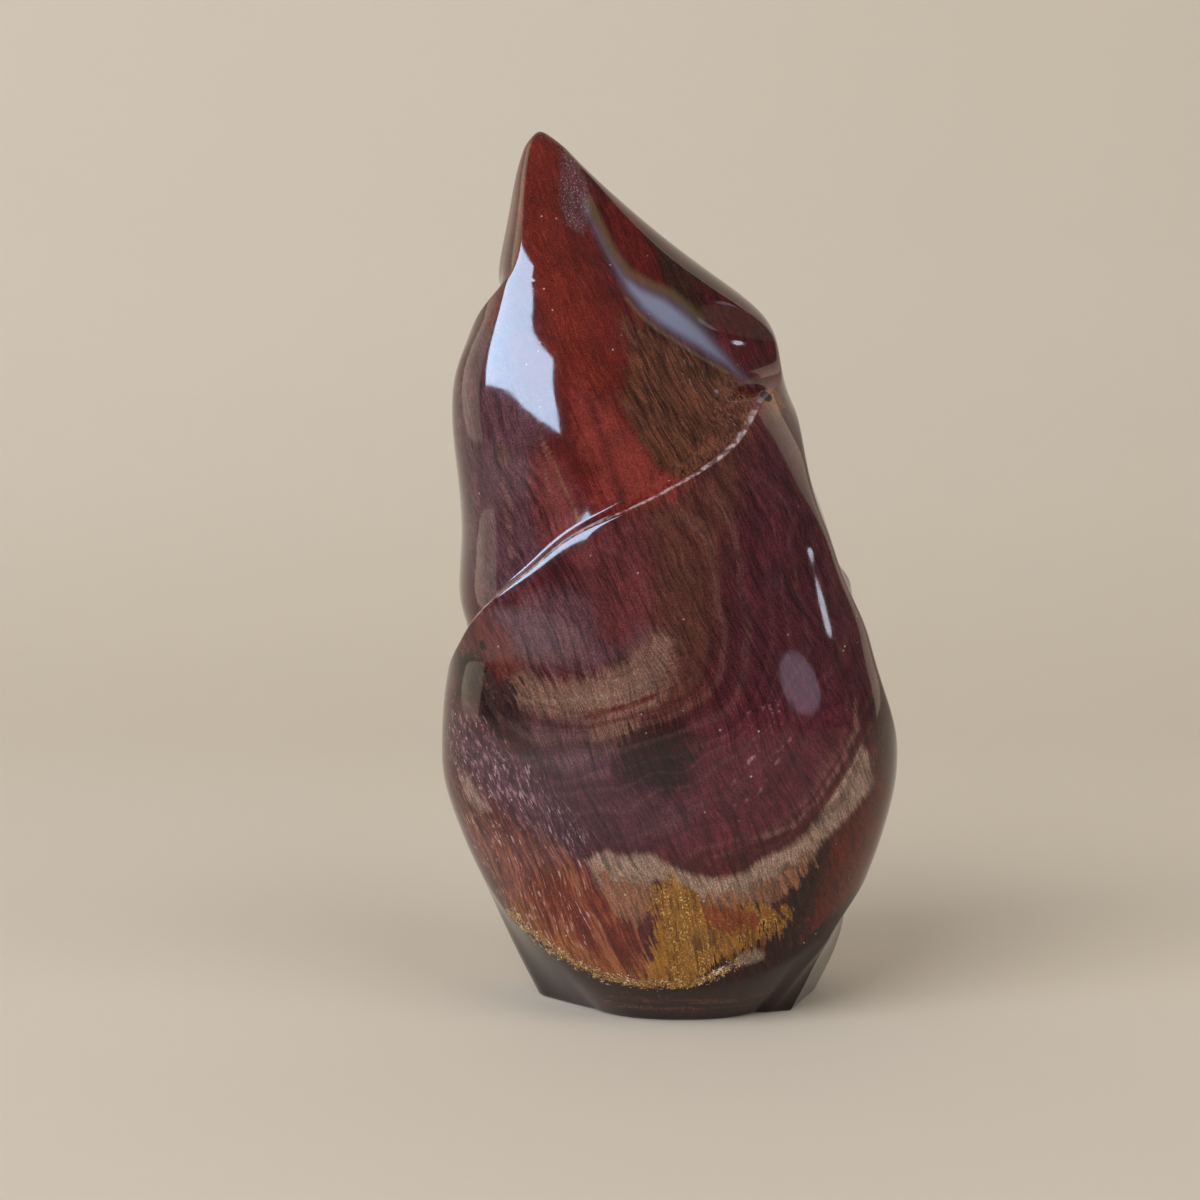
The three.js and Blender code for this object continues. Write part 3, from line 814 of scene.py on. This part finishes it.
# The floor
# A plain sheet of pale matt paper, 4 m wide, under the carving. It runs level to the back and then curves up,
# so that no edge shows behind the stone. It is not part of the object.
HALF_WIDTH = 2
SWEEP = [(-1.6, 0), (0.35, 0), (0.47, 0.012), (0.57, 0.05), (0.65, 0.12), (0.7, 0.22), (0.72, 0.4), (0.72, 1.8)]
bm = bmesh.new()
start = [bm.verts.new((-HALF_WIDTH, y, z)) for y, z in SWEEP]
lines = [bm.edges.new(pair) for pair in zip(start, start[1:])]
made = bmesh.ops.extrude_edge_only(bm, edges=lines)
moved = [part for part in made["geom"] if isinstance(part, bmesh.types.BMVert)]
bmesh.ops.translate(bm, verts=moved, vec=(2 * HALF_WIDTH, 0, 0))
bmesh.ops.recalc_face_normals(bm, faces=bm.faces[:])
floor_mesh = bpy.data.meshes.new("floor")
bm.to_mesh(floor_mesh)
bm.free()
floor_mesh.polygons.foreach_set("use_smooth", [True] * len(floor_mesh.polygons))
floor = bpy.data.objects.new("floor", floor_mesh)
bpy.context.collection.objects.link(floor)
paper = bpy.data.materials.new("pale_paper")
paper.use_nodes = True
paper_shader = paper.node_tree.nodes["Principled BSDF"]
paper_shader.inputs["Base Color"].default_value = (0.72, 0.65, 0.55, 1)
paper_shader.inputs["Roughness"].default_value = 0.75
floor_mesh.materials.append(paper)

# The light and the camera
# Soft light falls on the stone from the left and above. Its polish mirrors one broad cool light at the upper
# left, two tall warm ones at the sides, and two small ones at the right.
LIT_POINT = (-0.008, -0.018, 0.105)


def lit_from(turn, lift, distance, size, brightness, colour, shows, shape="RECTANGLE"):
    """A flat light that faces the carving: its direction and height in degrees, its size in metres."""
    light = bpy.data.lights.new("light", "AREA")
    light.shape = shape
    light.size, light.size_y = size
    light.energy = brightness * math.pi * size[0] * size[1]
    light.color = colour
    holder = bpy.data.objects.new("light", light)
    turn, lift = math.radians(turn), math.radians(lift)
    level = math.cos(lift)
    towards = Vector((math.sin(turn) * level, -math.cos(turn) * level, math.sin(lift)))
    holder.location = Vector(LIT_POINT) + towards * distance
    holder.rotation_euler = (-towards).to_track_quat("-Z", "Y").to_euler()
    holder.visible_glossy = shows == "polish"
    holder.visible_diffuse = shows == "stone"
    bpy.context.collection.objects.link(holder)


lit_from(-52, 26.5, 0.8, (0.96, 0.37), 23, (0.55, 0.74, 1), "polish")
lit_from(-121, 12, 1.2, (1.3, 2.2), 1.25, (1, 0.84, 0.64), "polish")
lit_from(132, 12, 1.2, (1.0, 2.0), 0.9, (1, 0.84, 0.64), "polish")
lit_from(50, 1, 0.8, (0.3, 0.12), 1.6, (0.8, 0.75, 1), "polish", "ELLIPSE")
lit_from(77, 11, 0.8, (0.065, 0.09), 9, (0.8, 0.85, 1), "polish", "ELLIPSE")
lit_from(-40, 35, 1.9, (1.52, 1.14), 4.4, (1, 0.97, 0.94), "stone")
lit_from(45, 40, 1.9, (1.52, 1.14), 1.8, (1, 0.97, 0.94), "stone")
world = bpy.data.worlds.new("room")
world.use_nodes = True
world.node_tree.nodes["Background"].inputs["Color"].default_value = (0.9, 0.86, 0.8, 1)
world.node_tree.nodes["Background"].inputs["Strength"].default_value = 0.22
bpy.context.scene.world = world
bpy.context.scene.view_settings.view_transform = "Standard"

camera = bpy.data.objects.new("camera", bpy.data.cameras.new("camera"))
camera.data.lens = 60
camera.data.sensor_width = 36
camera.data.clip_start = 0.01
camera.location = [value * MM for value in EYE]
camera.rotation_euler = (math.pi / 2 - DIP, 0, 0)
bpy.context.collection.objects.link(camera)
bpy.context.scene.camera = camera
